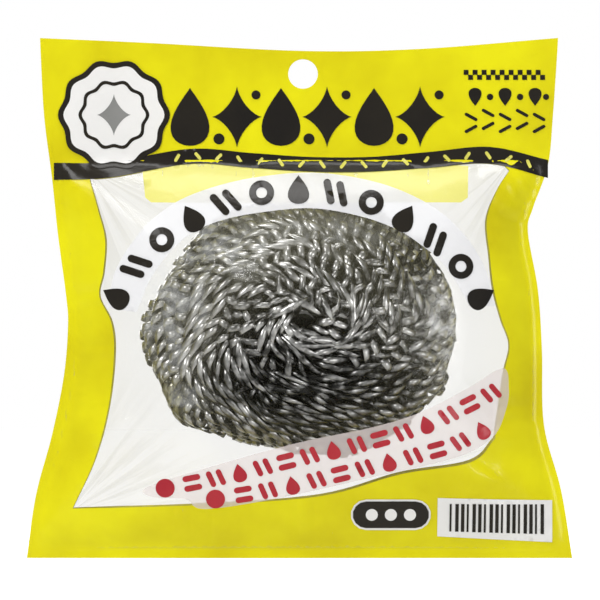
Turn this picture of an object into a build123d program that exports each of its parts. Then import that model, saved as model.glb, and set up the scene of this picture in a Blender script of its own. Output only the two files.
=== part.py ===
from build123d import *
import math
import os

os.makedirs("parts", exist_ok=True)

# A curled-ribbon pot scrubber in its sealed retail pouch, hanging as it does in a shop.
# Millimetres, +Z up, front towards -Y, origin on the axis of the hang hole.

# Pouch outline
header_half_width = 70.5
shoulder_half_width = 67.6
waist_half_width = 63.6
foot_half_width = 74.0
corner_height = 9.6
top_edge_sag = 3.2
shoulder_drop = 23.0
waist_drop = 62.0
foot_drop = 131.5

# Pouch film
film_thickness = 0.2
print_thickness = 0.2
side_weld_width = 2.0
foot_weld_height = 4.5
print_foot_margin = 1.2
header_slack = 0.5
side_puff = 3.6
shoulder_puff = 0.8
foot_puff = 2.2
hang_hole_radius = 4.0

# Scourer, its outer reach
scourer_half_width = 42.5
scourer_half_height = 36.5
scourer_half_depth = 20.0
scourer_drop = 68.0
film_clearance = 0.8

# Curled steel ribbon
ribbon_width = 1.6
ribbon_thickness = 0.7
curl_radius = 4.0
core_clearance = 0.8

# Gathered middle and its tie
boss_radius = 3.2
boss_height = 2.4
dimple_radius = 8.5
dimple_depth = 4.0
tie_width = 1.6
tie_thickness = 0.6
tie_clearance = 0.15

# Clear window in the print
window_half_width = 54.0
window_top_drop = 27.0
window_height = 89.0

# Pale veils printed in the window: an arch over the scourer, and a panel behind its top
arch_drop = 87.5
arch_radius = 59.0
arch_height = 8.8
arch_half_turn = 64.0
panel_half_width = 43.8
panel_shift = 0.7
panel_foot_drop = 34.8

# Overprints: a round plate and a band in the header, a pill and a white label at the foot
plate_radius = 14.6
plate_shift = 51.0
plate_drop = 11.1
pill_width = 21.6
pill_height = 8.4
pill_shift = 23.6
pill_drop = 118.8
label_width = 31.0
label_height = 11.0
label_shift = 51.5
label_drop = 120.2

overrun = 5.0

# Windings of curls, as shares of a right angle down from the middle of a face to the rim,
# with the share of a full round that each ribbon is wound and the curls in it
face_winding_shares = (0.36, 0.48)
face_round_share = 0.94
face_curls = 9
rim_round_share = 0.96
rim_curls = 9
probes_per_curl = 16

# Window outline, from its top left corner round by the left: across, down
window_left_shares = (
    (-1.06, 0.0), (-0.98, 0.24), (-1.01, 0.37), (-0.94, 0.52), (-0.97, 0.72), (-1.13, 1.0)
)
window_foot_shares = ((-1.13, 1.0), (0.08, 0.98), (0.46, 0.905), (0.84, 0.87), (0.97, 0.78))
window_right_shares = ((0.97, 0.78), (1.03, 0.52), (0.96, 0.36), (0.91, 0.14), (1.04, -0.02))
window_top_shares = (
    (1.04, -0.02), (0.93, -0.03), (0.63, -0.02), (0.2, -0.005), (-0.25, -0.02), (-0.57, -0.03),
    (-1.06, 0.0),
)

# Rising veil under the scourer, its upper and lower edge in the window's shares
rise_upper_shares = ((-0.78, 0.95), (-0.4, 0.87), (0.0, 0.81), (0.58, 0.72), (1.0, 0.59))
rise_lower_shares = ((0.95, 0.8), (0.76, 0.86), (0.3, 0.92), (-0.1, 0.98), (-0.49, 1.01), (-0.75, 0.98))

# Band across the header: shares of its half width across and of the shoulder's drop down
band_upper_shares = (
    (-0.95, 1.05), (-0.74, 1.03), (-0.43, 0.88), (-0.2, 0.93), (0.14, 0.98), (0.49, 0.92),
    (0.72, 0.86), (0.94, 1.01),
)
band_lower_shares = (
    (0.94, 1.22), (0.72, 1.06), (0.49, 1.1), (0.14, 1.15), (-0.2, 1.1), (-0.43, 1.06),
    (-0.74, 1.22), (-0.95, 1.24),
)

# Steps in which the pouch is built from shoulder to foot weld, and from its middle to a side
down_steps = 11
across_steps = 6

# Cuts across the core from back to front, as shares of its half depth, and the corners of each
core_depth_shares = (-0.92, -0.64, 0.0, 0.64, 0.92)
core_corners = 36


def side_points(across):
    """Shoulder, waist and foot of the pouch's side, right for 1 and left for -1."""
    return (
        (across * shoulder_half_width, -shoulder_drop),
        (across * waist_half_width, -waist_drop),
        (across * foot_half_width, -foot_drop),
    )


# The sides are drawn in by the bulge of the scourer.
with BuildLine(Plane.XZ) as side_line:
    ThreePointArc(*side_points(1))
side = side_line.line.edges()[0]


def weld_half_width(height):
    """Inner edge of the side weld at a height."""
    reach = math.sqrt(side.radius ** 2 - (height - side.arc_center.Z) ** 2)
    return side.arc_center.X - reach - side_weld_width


def outline_prism():
    """Everything inside the pouch's outline, right through from front to back."""
    depth = scourer_half_depth + overrun
    left_corner = (-header_half_width, corner_height)
    right_corner = (header_half_width, corner_height)
    with BuildPart() as prism:
        with BuildSketch(Plane.XZ.offset(-depth)):
            with BuildLine():
                ThreePointArc(*side_points(1))
                ThreePointArc(*side_points(-1))
                Line(side_points(1)[-1], side_points(-1)[-1])
                Line(side_points(1)[0], right_corner)
                Line(side_points(-1)[0], left_corner)
                ThreePointArc(left_corner, (0, corner_height - top_edge_sag), right_corner)
            make_face()
            Circle(hang_hole_radius, mode=Mode.SUBTRACT)
        extrude(amount=2 * depth)
    return prism.part


def window_points(shares):
    """Points of the front at shares of the window, from its top middle."""
    return [
        (across * window_half_width, -window_top_drop - down * window_height)
        for across, down in shares
    ]


def band_points(shares):
    """Points of the header at shares of its half width and of the shoulder's drop."""
    return [(across * header_half_width, -down * shoulder_drop) for across, down in shares]


def through(sketch):
    """A shape drawn on the pouch's middle plane, taken right through from front to back."""
    depth = scourer_half_depth + overrun
    with BuildPart() as prism:
        extrude(sketch.moved(Location((0, depth, 0))), amount=2 * depth)
    return prism.part


# The clear window
with BuildSketch(Plane.XZ) as window:
    with BuildLine():
        Spline(*window_points(window_left_shares))
        Spline(*window_points(window_foot_shares))
        Spline(*window_points(window_right_shares))
        Spline(*window_points(window_top_shares))
    make_face()

with BuildSketch(Plane.XZ) as arch:
    with BuildLine():
        inner_arc = CenterArc(
            (0, -arch_drop), arch_radius - arch_height, 90 - arch_half_turn, 2 * arch_half_turn
        )
        outer_arc = CenterArc((0, -arch_drop), arch_radius, 90 - arch_half_turn, 2 * arch_half_turn)
        Line(inner_arc @ 0, outer_arc @ 0)
        Line(inner_arc @ 1, outer_arc @ 1)
    make_face()

with BuildSketch(Plane.XZ) as top_card:
    with Locations((panel_shift, -panel_foot_drop)):
        Rectangle(2 * panel_half_width, window_height, align=(Align.CENTER, Align.MIN))

with BuildSketch(Plane.XZ) as rise:
    with BuildLine():
        upper = Spline(*window_points(rise_upper_shares))
        lower = Spline(*window_points(rise_lower_shares))
        Line(upper @ 1, lower @ 0)
        Line(lower @ 1, upper @ 0)
    make_face()

with BuildSketch(Plane.XZ) as band:
    with BuildLine():
        band_upper = Spline(*band_points(band_upper_shares))
        band_lower = Spline(*band_points(band_lower_shares))
        Line(band_upper @ 1, band_lower @ 0)
        Line(band_lower @ 1, band_upper @ 0)
    make_face()

with BuildSketch(Plane.XZ) as plate:
    with Locations((-plate_shift, -plate_drop)):
        Circle(plate_radius)

with BuildSketch(Plane.XZ) as pill:
    with Locations((pill_shift, -pill_drop)):
        SlotOverall(pill_width, pill_height)

with BuildSketch(Plane.XZ) as label:
    with Locations((label_shift, -label_drop)):
        Rectangle(label_width, label_height)


# The film lies tight on the scourer and runs from where it leaves it to the welds.
loft_top = -shoulder_drop
loft_foot = foot_weld_height - foot_drop
film_half_width = scourer_half_width + film_clearance
film_half_height = scourer_half_height + film_clearance
film_half_depth = scourer_half_depth + film_clearance


def film_depth(across, height):
    """How far the front film stands off the pouch's middle plane between its welds."""
    rise = height + scourer_drop
    end, end_puff = (loft_top, shoulder_puff) if rise > 0 else (loft_foot, foot_puff)
    to_weld = max(abs(across) / weld_half_width(height), rise / (end + scourer_drop))
    aside = across / film_half_width
    along = rise / film_half_height
    to_rim = math.hypot(aside, along)
    if to_rim == 0:
        return film_half_depth
    leave = to_weld / to_rim
    if to_rim <= leave:
        return film_half_depth * math.sqrt(1 - to_rim ** 2)
    way = (1 - to_weld) / (1 - leave ** 2)
    puff = (side_puff * aside ** 2 + end_puff * along ** 2) / to_rim ** 2
    return film_half_depth * math.sqrt(1 - leave ** 2) * way + puff * (4 * way * (1 - way)) ** 2


def panel_sketch(height, inner, outer):
    """A cut across the front film, from its surface lifted by inner to that lifted by outer."""
    weld = weld_half_width(height)
    edge = foot_half_width + overrun
    shares = [step / across_steps for step in range(-across_steps, across_steps + 1)]
    with BuildSketch(Plane.XY.offset(height)) as cut:
        with BuildLine():
            for lift in (inner, outer):
                film = [
                    (
                        share * weld,
                        -film_depth(share * weld, height) - header_slack * (1 - share ** 2) - lift,
                    )
                    for share in shares
                ]
                Polyline((-edge, -lift), *film, (edge, -lift))
            Line((edge, -inner), (edge, -outer))
            Line((-edge, -inner), (-edge, -outer))
        make_face()
    return cut.sketch


def panel(inner, outer):
    """One front panel of film or print, with the hang hole through it."""
    drop = (loft_top - loft_foot) / down_steps
    stations = [loft_top - step * drop for step in range(down_steps + 1)]
    outline = outline_prism()
    with BuildPart() as sheet:
        loft([panel_sketch(height, inner, outer) for height in stations], ruled=True)
        extrude(panel_sketch(loft_top, inner, outer), amount=shoulder_drop + corner_height + overrun)
        extrude(panel_sketch(loft_foot, inner, outer), amount=-foot_weld_height - overrun)
        add(outline, mode=Mode.INTERSECT)
    return sheet.part


with BuildPart() as front_film:
    add(panel(0, film_thickness))
front_film.part.label = "front_film"

with BuildPart() as back_film:
    add(mirror(front_film.part, about=Plane.XZ, mode=Mode.PRIVATE))
back_film.part.label = "back_film"

print_layer = panel(film_thickness, film_thickness + print_thickness)
veil_layer = panel(film_thickness + print_thickness, film_thickness + 2 * print_thickness)
plate_layer = panel(film_thickness + 2 * print_thickness, film_thickness + 3 * print_thickness)

with BuildPart() as front_print:
    add(print_layer)
    add(through(window.sketch), mode=Mode.SUBTRACT)
    with Locations((0, 0, -foot_drop)):
        Box(2 * foot_half_width + overrun, overrun, 2 * print_foot_margin, mode=Mode.SUBTRACT)
front_print.part.label = "front_print"

with BuildPart() as back_print:
    add(mirror(front_print.part, about=Plane.XZ, mode=Mode.PRIVATE))
back_print.part.label = "back_print"

# The arch lies over the panel, and all three veils end at the window's edge.
with BuildPart() as top_veil:
    add(print_layer)
    add(through(top_card.sketch), mode=Mode.INTERSECT)
    add(through(window.sketch), mode=Mode.INTERSECT)
top_veil.part.label = "top_veil"

with BuildPart() as arch_veil:
    add(veil_layer)
    add(through(arch.sketch), mode=Mode.INTERSECT)
    add(through(window.sketch), mode=Mode.INTERSECT)
arch_veil.part.label = "arch_veil"

with BuildPart() as rise_veil:
    add(print_layer)
    add(through(rise.sketch), mode=Mode.INTERSECT)
    add(through(window.sketch), mode=Mode.INTERSECT)
rise_veil.part.label = "rise_veil"

with BuildPart() as band_print:
    add(veil_layer)
    add(through(band.sketch), mode=Mode.INTERSECT)
    add(through(arch.sketch), mode=Mode.SUBTRACT)
band_print.part.label = "band_print"

with BuildPart() as pill_print:
    add(veil_layer)
    add(through(pill.sketch), mode=Mode.INTERSECT)
pill_print.part.label = "pill_print"

with BuildPart() as label_print:
    add(veil_layer)
    add(through(label.sketch), mode=Mode.INTERSECT)
label_print.part.label = "label_print"

# The plate lies over the end of the band.
with BuildPart() as plate_print:
    add(plate_layer)
    add(through(plate.sketch), mode=Mode.INTERSECT)
plate_print.part.label = "plate_print"

# The core is the packed inside of the scourer, and the curls lie on it in one layer.
curl_reach = curl_radius + ribbon_width / 2
carrier_half_width = scourer_half_width - curl_reach
carrier_half_height = scourer_half_height - curl_reach
carrier_half_depth = scourer_half_depth - curl_reach
core_half_width = carrier_half_width - curl_reach - core_clearance
core_half_height = carrier_half_height - curl_reach - core_clearance
core_half_depth = carrier_half_depth - curl_reach - core_clearance


def face_plane(face_side, depth):
    """A plane across the scourer's axis at a depth, facing out, front for -1 and back for 1."""
    origin = (0, face_side * depth, -scourer_drop)
    return Plane(origin, x_dir=(1, 0, 0), z_dir=(0, face_side, 0))


def core_cut(depth_share):
    """The core's oval at a share of its half depth behind its middle plane."""
    wide = core_half_width * math.sqrt(1 - depth_share ** 2)
    tall = core_half_height * math.sqrt(1 - depth_share ** 2)
    turns = [2 * math.pi * corner / core_corners for corner in range(core_corners)]
    with BuildSketch(face_plane(1, depth_share * core_half_depth)) as cut:
        with BuildLine():
            Polyline(*[(wide * math.cos(turn), tall * math.sin(turn)) for turn in turns], close=True)
        make_face()
    return cut.sketch


dimple_floor_depth = core_depth_shares[-1] * core_half_depth - dimple_depth

with BuildPart() as ribbon_core:
    loft([core_cut(share) for share in core_depth_shares], ruled=True)
    for face_side in (-1, 1):
        with BuildSketch(face_plane(face_side, dimple_floor_depth)):
            Circle(dimple_radius)
        extrude(amount=dimple_depth, mode=Mode.SUBTRACT)
        with BuildSketch(face_plane(face_side, dimple_floor_depth)):
            Circle(boss_radius)
        extrude(amount=boss_height)
ribbon_core.part.label = "ribbon_core"


def carrier(polar, around, face_side):
    """A point of the line that the curls go round, and the ways out and along there."""
    point = Vector(
        carrier_half_width * math.sin(polar) * math.cos(around),
        face_side * carrier_half_depth * math.cos(polar),
        carrier_half_height * math.sin(polar) * math.sin(around),
    )
    out = Vector(
        point.X / carrier_half_width ** 2,
        point.Y / carrier_half_depth ** 2,
        point.Z / carrier_half_height ** 2,
    )
    along = Vector(
        -carrier_half_width * math.sin(around), 0, carrier_half_height * math.cos(around)
    )
    return point - Vector(0, 0, scourer_drop), out.normalized(), along.normalized()


def ribbon_path(polar_start, polar_end, rounds, curls, face_side):
    """Middle line of a curled ribbon, as a function of the share of its length."""

    def at(share):
        polar = polar_start + share * (polar_end - polar_start)
        around = 2 * math.pi * rounds * share
        middle, out, along = carrier(polar, around, face_side)
        across = along.cross(out)
        turn = 2 * math.pi * curls * share
        return middle + out * (curl_radius * math.cos(turn)) + across * (curl_radius * math.sin(turn))

    return at


def half_turn(start, end, leave, arrive):
    """Two arcs from start to end that leave and arrive in the given directions."""
    chord = end - start
    both = leave + arrive
    spread = 2 * (1 - leave.dot(arrive))
    product = chord.dot(both)
    reach = (math.sqrt(product ** 2 + spread * chord.dot(chord)) - product) / spread
    ahead = start + leave * reach
    behind = end - arrive * reach
    middle = (ahead + behind) / 2
    TangentArc(start, middle, tangent=leave)
    TangentArc(middle, end, tangent=behind - ahead)


def least_gap(path, curls):
    """Least clear distance of a ribbon to itself, a half curl or more further along."""
    count = curls * probes_per_curl
    points = [path(step / count) for step in range(count + 1)]
    apart = probes_per_curl // 2
    nearest = min(
        (points[first] - points[second]).length
        for first in range(count + 1)
        for second in range(first + apart, count + 1)
    )
    return nearest - ribbon_width


def curled_ribbon(path, curls):
    """One unbroken ribbon, swept through its curls."""
    slight = 1 / (curls * probes_per_curl * probes_per_curl)
    marks = [step / (2 * curls) for step in range(2 * curls + 1)]
    points = [path(mark) for mark in marks]
    ways = [(path(mark + slight) - path(mark - slight)).normalized() for mark in marks]
    with BuildPart() as ribbon:
        with BuildLine() as line:
            for step in range(2 * curls):
                half_turn(points[step], points[step + 1], ways[step], ways[step + 1])
        inward = (points[1] - points[0]).normalized()
        with BuildSketch(Plane(points[0], x_dir=inward.cross(ways[0]), z_dir=ways[0])):
            Rectangle(ribbon_width, ribbon_thickness)
        sweep(path=line.line, clean=False)
    return ribbon.part


# A band round the gathered ribbon ends in the front dimple ties the scourer together.
tie_middle_radius = boss_radius + tie_clearance + tie_thickness / 2
tie_middle_depth = dimple_floor_depth + tie_clearance + tie_width / 2
with BuildPart() as centre_tie:
    with BuildSketch(Plane.XY):
        with Locations((tie_middle_radius, -tie_middle_depth)):
            Rectangle(tie_thickness, tie_width)
    revolve(axis=Axis.Y)
centre_tie.part = centre_tie.part.move(Location((0, 0, -scourer_drop)))
centre_tie.part.label = "centre_tie"

right_angle = math.pi / 2
face_polar = [share * right_angle for share in face_winding_shares]
front_path = ribbon_path(*face_polar, face_round_share, face_curls, -1)
rim_path = ribbon_path(right_angle, right_angle, rim_round_share, rim_curls, -1)
back_path = ribbon_path(*face_polar, face_round_share, face_curls, 1)

with BuildPart() as front_ribbon:
    add(curled_ribbon(front_path, face_curls), clean=False)
front_ribbon.part.label = "front_ribbon"

with BuildPart() as rim_ribbon:
    add(curled_ribbon(rim_path, rim_curls), clean=False)
rim_ribbon.part.label = "rim_ribbon"

with BuildPart() as back_ribbon:
    add(curled_ribbon(back_path, face_curls), clean=False)
back_ribbon.part.label = "back_ribbon"

print("front ribbon's least gap", round(least_gap(front_path, face_curls), 2))
print("rim ribbon's least gap", round(least_gap(rim_path, rim_curls), 2))
print("back ribbon's least gap", round(least_gap(back_path, face_curls), 2))

pieces = (
    front_film,
    back_film,
    front_print,
    back_print,
    top_veil,
    arch_veil,
    rise_veil,
    band_print,
    pill_print,
    label_print,
    plate_print,
    ribbon_core,
    front_ribbon,
    rim_ribbon,
    back_ribbon,
    centre_tie,
)
for piece in pieces:
    export_step(piece.part, f"parts/{piece.part.label}.step")
    print(piece.part.label, len(piece.part.solids()), round(piece.part.volume, 2))
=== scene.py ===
import math
from functools import partial

import bpy
import numpy as np
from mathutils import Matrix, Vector
from mathutils.bvhtree import BVHTree
from mathutils.geometry import delaunay_2d_cdt


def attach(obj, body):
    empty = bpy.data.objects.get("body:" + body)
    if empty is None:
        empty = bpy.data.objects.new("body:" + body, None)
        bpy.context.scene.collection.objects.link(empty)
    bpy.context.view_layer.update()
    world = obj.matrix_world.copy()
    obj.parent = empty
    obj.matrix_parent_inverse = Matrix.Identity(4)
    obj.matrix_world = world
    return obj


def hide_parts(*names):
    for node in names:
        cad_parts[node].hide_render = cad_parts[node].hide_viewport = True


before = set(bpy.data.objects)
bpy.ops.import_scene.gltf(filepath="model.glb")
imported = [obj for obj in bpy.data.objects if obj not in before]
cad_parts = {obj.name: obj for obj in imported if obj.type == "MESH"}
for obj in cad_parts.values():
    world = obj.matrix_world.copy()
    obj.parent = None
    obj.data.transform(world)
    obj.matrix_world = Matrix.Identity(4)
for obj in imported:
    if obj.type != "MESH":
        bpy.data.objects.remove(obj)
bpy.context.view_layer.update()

SCENE = bpy.context.scene
MM = 0.001
# Guards against a division by zero
TINY = 1e-12
TINY_SHARE = 1e-9

# Pixels are of the photograph's 600 by 600 frame, and the hang hole is the origin.
PHOTO_SIZE = 600
PIXEL = 0.00027
HOLE_PX = (303, 74)
HOLE_RADIUS = 0.004

# The scourer's middle and half sizes and the film's clearance, in metres
BALL_X = 0.0
BALL_Z = -0.068
BALL_WIDE = 0.0425
BALL_TALL = 0.0365
BALL_DEEP = 0.020
FILM_CLEARANCE = 0.0008

# Ways along Y of side 0, the front, and side 1, the back
WAYS = (-1, 1)
GRID_WAYS = np.array(WAYS, float)[:, None, None]


def spot(pixel):
    """Where a pixel of the photograph lies on the pouch's middle plane."""
    return ((pixel[0] - HOLE_PX[0]) * PIXEL, (HOLE_PX[1] - pixel[1]) * PIXEL)


def pixels(points):
    """A line of pixels as places on the pouch's middle plane."""
    return np.array([spot(p) for p in points])


CURVE_STEPS = 8


def curve_through(points, closed=False):
    """Points along a smooth curve through the given ones."""
    known = np.array(points, dtype=float)
    count = len(known)
    found = []
    for span in range(count if closed else count - 1):
        if closed:
            a, b, c, d = (known[(span + k - 1) % count] for k in range(4))
        else:
            b, c = known[span], known[span + 1]
            a = known[span - 1] if span else 2 * b - c
            d = known[span + 2] if span + 2 < count else 2 * c - b
        bend = 2 * a - 5 * b + 4 * c - d
        twist = 3 * b - a - 3 * c + d
        for step in range(CURVE_STEPS):
            t = step / CURVE_STEPS
            found.append(0.5 * (2 * b + (c - a) * t + bend * t**2 + twist * t**3))
    if not closed:
        found.append(known[-1])
    return np.array(found)


# Edges of the pouch, from pixels across and down
LEFT_EDGE = curve_through(pixels([
    (40, 41), (44, 115), (52, 178), (58, 235), (66, 295),
    (68, 325), (64, 375), (52, 435), (36, 495), (26, 563),
]))
RIGHT_EDGE = curve_through(pixels([
    (558, 41), (553, 115), (548, 165), (533, 208), (528, 232),
    (538, 290), (542, 350), (544, 425), (561, 490), (573, 563),
]))
TOP_EDGE = curve_through(pixels([(40, 38), (150, 43), (303, 51), (420, 49), (558, 38)]))
FOOT_PX = 563
PRINT_FOOT_PX = 558
SHOULDER_PX = 159

# Welds, and how far the film puffs beside them, in metres
WELD_INSET = 0.002
FOOT_WELD = 0.0045
SIDE_PUFF = 0.0036
SHOULDER_PUFF = 0.0008
FOOT_PUFF = 0.0022
HEADER_SLACK = 0.0005

FOOT_Z = spot((0, FOOT_PX))[1]
SHOULDER_Z = spot((0, SHOULDER_PX))[1]


def left_at(z):
    """X of the pouch's left edge at a height."""
    return np.interp(-z, -LEFT_EDGE[:, 1], LEFT_EDGE[:, 0])


def right_at(z):
    """X of the pouch's right edge at a height."""
    return np.interp(-z, -RIGHT_EDGE[:, 1], RIGHT_EDGE[:, 0])


def top_at(x):
    """Height of the pouch's top edge at a place across it."""
    return np.interp(x, TOP_EDGE[:, 0], TOP_EDGE[:, 1])


# Most share of the way to a weld at which the film leaves the scourer
MOST_SHARE = 0.999


def calm_depth(x, z):
    """Depth of a smooth film that lies on the scourer and runs from there to the welds."""
    rise = z - BALL_Z
    side = np.where(x > 0, right_at(z), -left_at(z)) - WELD_INSET
    end = np.where(rise > 0, SHOULDER_Z - BALL_Z, FOOT_Z + FOOT_WELD - BALL_Z)
    to_weld = np.clip(np.maximum(np.abs(x) / side, rise / end), TINY_SHARE, 1)
    aside = x / (BALL_WIDE + FILM_CLEARANCE)
    along = rise / (BALL_TALL + FILM_CLEARANCE)
    deep = BALL_DEEP + FILM_CLEARANCE
    to_rim = np.hypot(aside, along) + TINY_SHARE
    leave = np.minimum(to_weld / to_rim, MOST_SHARE)
    on_ball = deep * np.sqrt(np.maximum(1 - to_rim**2, 0))
    way = (1 - to_weld) / (1 - leave**2)
    end_puff = np.where(rise > 0, SHOULDER_PUFF, FOOT_PUFF)
    puff = (SIDE_PUFF * aside**2 + end_puff * along**2) / to_rim**2
    off_ball = deep * np.sqrt(1 - leave**2) * way + puff * (4 * way * (1 - way)) ** 2
    slack = HEADER_SLACK * np.clip(1 - (x / side) ** 2, 0, 1)
    return np.where(to_rim <= leave, on_ball, off_ball) + slack


# Long creases of the film: ends in pixels, width and height in millimetres
CREASES = (
    ((172, 414), (80, 506), 1.2, 1.9),
    ((196, 440), (104, 508), 1.1, -1.3),
    ((150, 396), (72, 470), 1.1, 1.3),
    ((215, 462), (160, 540), 1.4, 1.1),
    ((112, 300), (60, 214), 1.3, 1.3),
    ((132, 268), (66, 176), 1.4, -0.8),
    ((108, 350), (60, 300), 1.3, 0.7),
    ((452, 402), (545, 470), 1.3, 1.6),
    ((436, 424), (530, 506), 1.2, -1.2),
    ((466, 372), (548, 430), 1.4, 0.9),
    ((398, 452), (430, 540), 1.6, 0.7),
    ((300, 466), (310, 552), 1.8, 0.8),
    ((468, 300), (534, 250), 1.3, 0.9),
    ((462, 262), (528, 196), 1.5, 0.9),
    ((440, 236), (505, 172), 1.3, -0.7),
    ((474, 332), (540, 334), 1.3, 0.7),
)
# A crease's wander off its line, and its fading towards its ends
CREASE_WANDER = 0.5 * MM
CREASE_WAVES = 9
CREASE_PHASE = 900
CREASE_FADE = 1.1


def creases(x, z, side):
    """Rise of the film over its long creases, mirrored on the back."""
    made = np.zeros_like(x)
    flip = 1 if side == 0 else -1
    for start, end, width, height in CREASES:
        (ax, az), (bx, bz) = spot(start), spot(end)
        ax, bx = ax * flip, bx * flip
        long2 = (bx - ax) ** 2 + (bz - az) ** 2
        t = ((x - ax) * (bx - ax) + (z - az) * (bz - az)) / long2
        off = np.hypot(x - ax - t * (bx - ax), z - az - t * (bz - az))
        off += CREASE_WANDER * np.sin(t * CREASE_WAVES + ax * CREASE_PHASE)
        fade = np.clip(CREASE_FADE - np.abs(2 * t - 1), 0, 1)
        ridge = MM * height * np.exp(-((off / (MM * width)) ** 2))
        made += ridge * fade * (3 - 2 * fade) * fade
    return made


def smooth_noise(shape, cells, seed):
    """Soft random numbers between -1 and 1 on a grid."""
    made = np.random.default_rng(seed).uniform(-1, 1, (cells[0] + 3, cells[1] + 3))
    rows = np.linspace(0, cells[0], shape[0])
    cols = np.linspace(0, cells[1], shape[1])
    r0, c0 = rows.astype(int), cols.astype(int)
    fr, fc = rows - r0, cols - c0
    fr, fc = fr * fr * (3 - 2 * fr), fc * fc * (3 - 2 * fc)
    top = made[r0][:, c0] * (1 - fc) + made[r0][:, c0 + 1] * fc
    low = made[r0 + 1][:, c0] * (1 - fc) + made[r0 + 1][:, c0 + 1] * fc
    return top * (1 - fr)[:, None] + low * fr[:, None]


# The film: two welded sheets drawn over the scourer by a small cloth solver
COLUMNS = 156
ROWS = 146
WELD_COLUMNS = 2
WELD_ROWS = 4
# Bend of the whole pouch, ripples of each film and half its gap at the welds
SWAY = 0.6 * MM
SWAY_CELLS = (3, 3)
SWAY_SEED = 5
RIPPLE = 0.35 * MM
RIPPLE_CELLS = (40, 44)
RIPPLE_SEED = 11
HALF_GAP = 0.12 * MM
# Where folds fade in: below the header, above the foot and, in widths, at the sides
TOP_RAMP = 6 * MM
FOOT_RAMP = 4 * MM
SIDE_RAMP = 1 / 9
# Cut length over calm length, and stiffness of diagonals and bends
FILM_EASE = 1.010
DIAGONAL_STIFF = 0.35
BEND_STIFF = 0.10
# Rounds of the solver, corrections in each, motion kept and air pressure
ROUNDS = 80
CORRECTIONS = 7
DAMPING = 0.86
PRESSURE = 0.006 * MM
# Least distance from the middle plane, and reach of the last smoothing in points
APART = 0.1 * MM
BLUR_REACH = 9


def pouch_sheets():
    """Both films as grids of points, front first."""
    u = np.linspace(0, 1, COLUMNS)[None, :]
    v = np.linspace(0, 1, ROWS)[:, None]
    guess_x = (left_at(0) + (right_at(0) - left_at(0)) * u) * np.ones_like(v)
    top = top_at(guess_x)
    z = top + v * (FOOT_Z - top)
    x = left_at(z) + (right_at(z) - left_at(z)) * u
    slack = HEADER_SLACK * np.clip(1 - (2 * u - 1) ** 2, 0, 1)
    depth = np.where(z > SHOULDER_Z, slack, calm_depth(x, z)) + HALF_GAP
    edge = np.minimum(np.minimum(u, 1 - u) / SIDE_RAMP, 1) * np.ones_like(v)
    edge = edge * np.clip((SHOULDER_Z - z) / TOP_RAMP, 0, 1)
    edge = edge * np.clip((z - FOOT_Z - FOOT_WELD) / FOOT_RAMP, 0, 1)
    sheets = np.zeros((2, ROWS, COLUMNS, 3))
    calm = np.zeros_like(sheets)
    for side, way in enumerate(WAYS):
        ripple = RIPPLE * smooth_noise((ROWS, COLUMNS), RIPPLE_CELLS, RIPPLE_SEED + side)
        folds = creases(x, z, side)
        for grid, rise in ((calm, folds), (sheets, folds + ripple)):
            grid[side] = np.stack([x, way * (depth + rise * edge), z], -1)
    free = np.zeros((1, ROWS, COLUMNS, 1))
    free[:, :-WELD_ROWS, WELD_COLUMNS:-WELD_COLUMNS] = 1
    free[0, z > SHOULDER_Z] = 0
    settle(sheets, calm, free)
    for side in (0, 1):
        sheets[side] -= blurred(sheets[side] - calm[side], BLUR_REACH) * free[0]
    off_scourer(sheets, free)
    sheets[:, :, :, 1] += SWAY * smooth_noise((ROWS, COLUMNS), SWAY_CELLS, SWAY_SEED)[None]
    return sheets


def blurred(grid, reach):
    """A grid of moves, smoothed over its neighbours."""
    soft = grid.copy()
    for _ in range(3):
        for axis in (0, 1):
            widths = [(0, 0)] * 3
            widths[axis] = (reach + 1, reach)
            run = np.cumsum(np.pad(soft, widths, mode="edge"), axis=axis)
            size = grid.shape[axis]
            high = np.take(run, np.arange(2 * reach + 1, 2 * reach + 1 + size), axis=axis)
            soft = (high - np.take(run, np.arange(size), axis=axis)) / (2 * reach + 1)
    return soft


def off_scourer(sheets, free):
    """Moves points out of the scourer, and each film to its own side."""
    centre = np.array([BALL_X, 0.0, BALL_Z])
    axes = np.array([BALL_WIDE, BALL_DEEP, BALL_TALL]) + FILM_CLEARANCE
    away = (sheets - centre) / axes
    far = np.sqrt((away**2).sum(-1, keepdims=True)) + TINY
    sheets[:] = np.where((far < 1) & (free > 0), centre + away / far * axes, sheets)
    depth = sheets[..., 1]
    crossed = (depth * GRID_WAYS < APART) & (free[..., 0] > 0)
    sheets[..., 1] = np.where(crossed, GRID_WAYS * APART, depth)


def pair(start, stop, step, across):
    """Two views of the sheets whose points are linked, stop apart along one way."""
    every = slice(None)
    ends = (slice(start, -stop, step), slice(start + stop, None, step))
    return tuple((every, every, end) if across else (every, end, every) for end in ends)


def film_links():
    """Links of the film's threads, diagonals and bends: two views, stiffness and ease."""
    every = slice(None)
    left, right = slice(None, -1), slice(1, None)
    links = []
    for start in (0, 1):
        for across in (True, False):
            links.append((*pair(start, 1, 2, across), 1.0, FILM_EASE))
        down, further = slice(start, -1, 2), slice(start + 1, None, 2)
        for one, two in ((left, right), (right, left)):
            links.append(((every, down, one), (every, further, two), DIAGONAL_STIFF, FILM_EASE))
    for start in range(4):
        for across in (True, False):
            links.append((*pair(start, 2, 4, across), BEND_STIFF, 1.0))
    return links


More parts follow.
